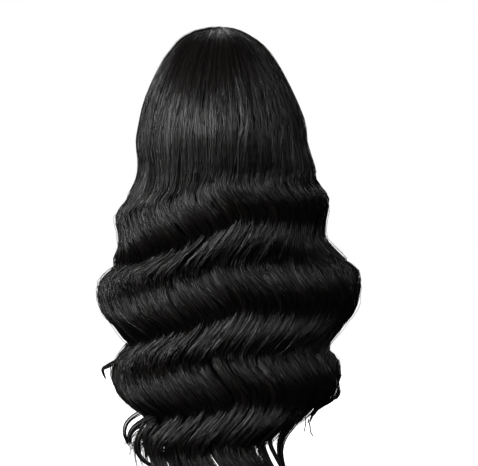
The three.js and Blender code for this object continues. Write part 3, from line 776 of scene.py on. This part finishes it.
# place is 0 at the temple and 1 at the parting. A strand leaves its root along the lace, and a smooth step
# takes it over to the flow of the foremost locks. It is raised by a half sine on its way.
def hairlineStrands(rng, side, style):
    count = style["strands"] // 2
    column = lambda low, high: rng.uniform(low, high, (count, 1))
    between = lambda ends: ends[0] + (ends[1] - ends[0]) * place
    place = column(0, 1) ** style["crowding"]
    place = np.where(column(0, 1) < style["partingShare"], column(*style["partingPlaces"]), place)
    bearing = np.radians(between(style["bearings"]))
    down = capEdgeDown(bearing) - column(*style["inset"]) / head["halfLength"]
    root = capPoint(side * bearing, down, head["lace"])
    end = hair["fall"] * column(*style["reach"])
    start = -hair["headArc"] * between(style["starts"])
    path = start + (end - start) * np.linspace(0, 1, style["steps"])
    along = toAlong(path)
    low, high = style["sides"]
    lock = side * (high - (high - low) * column(0, 1))
    depth = column(*style["depths"])
    flow = waved(restPoint(hairSection(along), np.broadcast_to(lock, path.shape), along, depth), along)
    run = path - start
    join = smooth(run, 0, column(*style["joins"]) + style["joinMore"] * place)[..., None]
    first = root + (flow - flow[:, :1]) * style["follow"]
    points = first * (1 - join) + flow * join
    away = unit((points + np.array([0, 0, head["crown"]])) * np.array([1, 1, style["liftUp"]]))
    raised = np.sin(np.pi * np.clip(run / style["liftRun"], 0, 1))
    raised = raised * smooth(points[..., 2], *style["liftFades"])
    return points + away * style["lift"] * raised[..., None]


for name, side in (("front_hair_right", -1), ("front_hair_left", 1)):
    hairlinePaths = hairlineStrands(rng, side, hairlineStyle)
    tones = rng.uniform(0, 1, len(hairlinePaths))
    hairline = strandMesh(rng, name + "_hairline", [(hairlinePaths, tones, hairlineStyle)], strandLook)
    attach(hairline, "root")
    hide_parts(name)

print("hairline tied:", hairlineStyle["strands"], "strands")

# Single curls that stand clear of the rest, each drawn by the places that its middle passes, in metres to
# the wig's own left and up, and how far behind the head's middle it lies. Its strands meet at the tip.
curls = {
    "left_flick": {"node": "side_hair_left", "back": 0.02, "strands": 12, "spread": 0.0035, "path": [
        (0.085, -0.32), (0.101, -0.333), (0.118, -0.342), (0.1245, -0.3465), (0.121, -0.357)]},
    "left_outline": {"node": "side_hair_left", "back": 0.025, "strands": 5, "spread": 0.0012, "path": [
        (0.1, -0.325), (0.1145, -0.342), (0.1145, -0.355), (0.1055, -0.372), (0.087, -0.389)]},
    "left_curl_low": {"node": "back_hair_left", "back": 0.045, "strands": 6, "spread": 0.0025, "path": [
        (0.073, -0.384), (0.0885, -0.391), (0.0975, -0.3985), (0.1005, -0.408), (0.0985, -0.417),
        (0.0945, -0.4245)]},
    "left_curl_inner": {"node": "back_hair_left", "back": 0.05, "strands": 20, "spread": 0.005, "path": [
        (0.066, -0.393), (0.079, -0.398), (0.0895, -0.4045), (0.0945, -0.413), (0.0935, -0.421)]},
    "left_loop": {"node": "back_hair_left", "back": 0.06, "strands": 18, "spread": 0.0034, "path": [
        (0.077, -0.397), (0.0858, -0.413), (0.086, -0.427), (0.0785, -0.4372), (0.067, -0.4425),
        (0.054, -0.448)]},
    "left_loop_inner": {"node": "back_hair_left", "back": 0.062, "strands": 30, "spread": 0.0045, "path": [
        (0.068, -0.396), (0.0765, -0.408), (0.0765, -0.4205), (0.07, -0.434), (0.06, -0.4435),
        (0.048, -0.451)]},
    "right_loop": {"node": "side_hair_right", "back": 0.02, "strands": 12, "spread": 0.0022, "path": [
        (-0.108, -0.352), (-0.1195, -0.362), (-0.1225, -0.37), (-0.1185, -0.3765), (-0.1145, -0.3725),
        (-0.1165, -0.3685)]},
    "right_outline": {"node": "side_hair_right", "back": 0.02, "strands": 16, "spread": 0.0032, "path": [
        (-0.119, -0.358), (-0.1195, -0.368), (-0.1145, -0.377), (-0.105, -0.3835), (-0.096, -0.391),
        (-0.092, -0.401)]},
    "right_flyaway": {"node": "back_hair_right", "back": 0.04, "strands": 2, "spread": 0.0008, "path": [
        (-0.089, -0.396), (-0.091, -0.402), (-0.092, -0.409), (-0.0955, -0.415)]},
    "right_spike": {"node": "back_hair_right", "back": 0.04, "strands": 2, "spread": 0.0008, "path": [
        (-0.087, -0.394), (-0.0865, -0.402), (-0.085, -0.41)]},
    "right_sweep": {"node": "back_hair_right", "back": 0.06, "strands": 26, "spread": 0.0045, "path": [
        (-0.08, -0.384), (-0.073, -0.397), (-0.0645, -0.409), (-0.0605, -0.421), (-0.0608, -0.432),
        (-0.065, -0.446), (-0.0715, -0.46)]},
    "right_slit_lock": {"node": "back_hair_right", "back": 0.065, "strands": 16, "spread": 0.0026, "path": [
        (-0.056, -0.392), (-0.0505, -0.406), (-0.0505, -0.4185), (-0.0555, -0.43), (-0.061, -0.441),
        (-0.0665, -0.45), (-0.073, -0.461)]},
    "right_inner_lock": {"node": "back_hair_right", "back": 0.068, "strands": 26, "spread": 0.005, "path": [
        (-0.05, -0.388), (-0.0415, -0.403), (-0.0405, -0.4185), (-0.0455, -0.432), (-0.0525, -0.444),
        (-0.06, -0.455), (-0.067, -0.464)]},
}
curlStyle = {"steps": 30, "width": 0.0013, "rootWidth": 0.35, "thick": 0.0007, "roll": 0.6,
             "stray": 0.15, "meet": 0.8, "meetPower": 1.3}


# The places of a smooth path through given ones, at even shares of its parts: cubics whose slopes come
# from the neighbours of each place.
def smoothPath(places, steps):
    knots = np.array(places, float)
    slopes = np.gradient(knots, axis=0)
    t = np.linspace(0, len(knots) - 1, steps)
    part = np.minimum(t.astype(int), len(knots) - 2)
    t = (t - part)[:, None]
    return cubic(t, knots[part], knots[part + 1], slopes[part], slopes[part + 1])


for name, curl in curls.items():
    middle = smoothPath(curl["path"], curlStyle["steps"])
    heading = unit(np.gradient(middle, axis=0))
    beside = np.stack([-heading[:, 1], heading[:, 0]], -1)
    column = (curl["strands"], 1)
    apart = rng.uniform(-1, 1, column) + curlStyle["stray"] * rng.normal(0, 1, column)
    closing = 1 - curlStyle["meet"] * np.linspace(0, 1, curlStyle["steps"]) ** curlStyle["meetPower"]
    flat = middle + beside * (apart * closing * curl["spread"])[..., None]
    back = curl["back"] + rng.uniform(-1, 1, column) * curl["spread"] + 0 * flat[..., 0]
    paths = np.stack([flat[..., 0], back, flat[..., 1]], -1)
    tones = rng.uniform(0, 1, curl["strands"])
    piece = strandMesh(rng, name, [(paths, tones, curlStyle)], strandLook)
    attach(piece, "root")
    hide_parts(curl["node"])

print("curls placed:", len(curls))

# The photograph's view: level, from behind, with the crown at its place in the frame.
view = {"distance": 2.4, "elevation": 2.0, "sensor": 36}
pixel = photo["metresPerPixel"]
centreX = -(photo["width"] / 2 - photo["crownX"]) * pixel
centreZ = hair["overCrown"] - (photo["height"] / 2 - photo["crownY"]) * pixel
camera = bpy.data.objects.new("Camera", bpy.data.cameras.new("Camera"))
bpy.context.scene.collection.objects.link(camera)
bpy.context.scene.camera = camera
camera.data.sensor_width = view["sensor"]
camera.data.lens = view["sensor"] * view["distance"] / (photo["width"] * pixel)
tilt = math.radians(view["elevation"])
target = Vector((centreX, 0, centreZ))
camera.location = target + view["distance"] * Vector((0, math.cos(tilt), math.sin(tilt)))
camera.rotation_euler = (target - camera.location).to_track_quat("-Z", "Y").to_euler()

lamps = {
    "key": {"place": (1.8, 1.35, 1.1), "size": 1.0, "power": 38, "aim": (0, 0, -0.15)},
    "sideKey": {"place": (2.12, 1.48, 0.35), "size": 1.0, "power": 20, "aim": (0, 0, -0.2)},
    "back": {"place": (0.3, 2.25, 1.00), "size": 1.0, "power": 21, "aim": (0, 0, -0.15)},
    "low": {"place": (-1.1, 2.35, 0.3), "size": 1.0, "power": 6, "aim": (0, 0, -0.2)},
    "rim": {"place": (0.0, -1.84, 1.64), "size": 1.2, "power": 6, "aim": (0, 0, -0.05)},
    "face": {"place": (-0.3, -2.7, 0.4), "size": 2.2, "power": 24, "aim": (0, 0, -0.2)},
}
for name, lamp in lamps.items():
    light = bpy.data.lights.new(name, "AREA")
    light.size, light.energy = lamp["size"], lamp["power"]
    holder = bpy.data.objects.new(name, light)
    holder.location = lamp["place"]
    towards = Vector(lamp["aim"]) - Vector(lamp["place"])
    holder.rotation_euler = towards.to_track_quat("-Z", "Y").to_euler()
    bpy.context.scene.collection.objects.link(holder)

# A white surround for the camera, which lights the object only dimly.
surround = {"seen": 1.0, "lit": 0.015}
world = bpy.data.worlds.new("Surround")
bpy.context.scene.world = world
world.use_nodes = True
sky = Nodes(world.node_tree)
background = world.node_tree.nodes["Background"].inputs
fromCamera = sky.node("ShaderNodeLightPath", output="Is Camera Ray")
sky.feed(background["Color"], (1, 1, 1, 1))
sky.feed(background["Strength"], fromCamera * (surround["seen"] - surround["lit"]) + surround["lit"])
bpy.context.scene.view_settings.view_transform = "Standard"

ground = {"reach": 6.0, "height": -0.62}
floorMesh = bpy.data.meshes.new("floor")
floorCorners = [(x * ground["reach"], y * ground["reach"], ground["height"])
                for x, y in ((-1, -1), (1, -1), (1, 1), (-1, 1))]
floorMesh.from_pydata(floorCorners, [], [(0, 1, 2, 3)])
floor = bpy.data.objects.new("floor", floorMesh)
floorLook = Look("pale_floor")
floorLook.surface(Base_Color=(0.9, 0.9, 0.9, 1), Roughness=0.8,
                  Emission_Color=(1, 1, 1, 1), Emission_Strength=1.0)
floorMesh.materials.append(floorLook.material)
floor.visible_glossy = floor.visible_diffuse = False
bpy.context.scene.collection.objects.link(floor)

print("view, lamps and floor set")
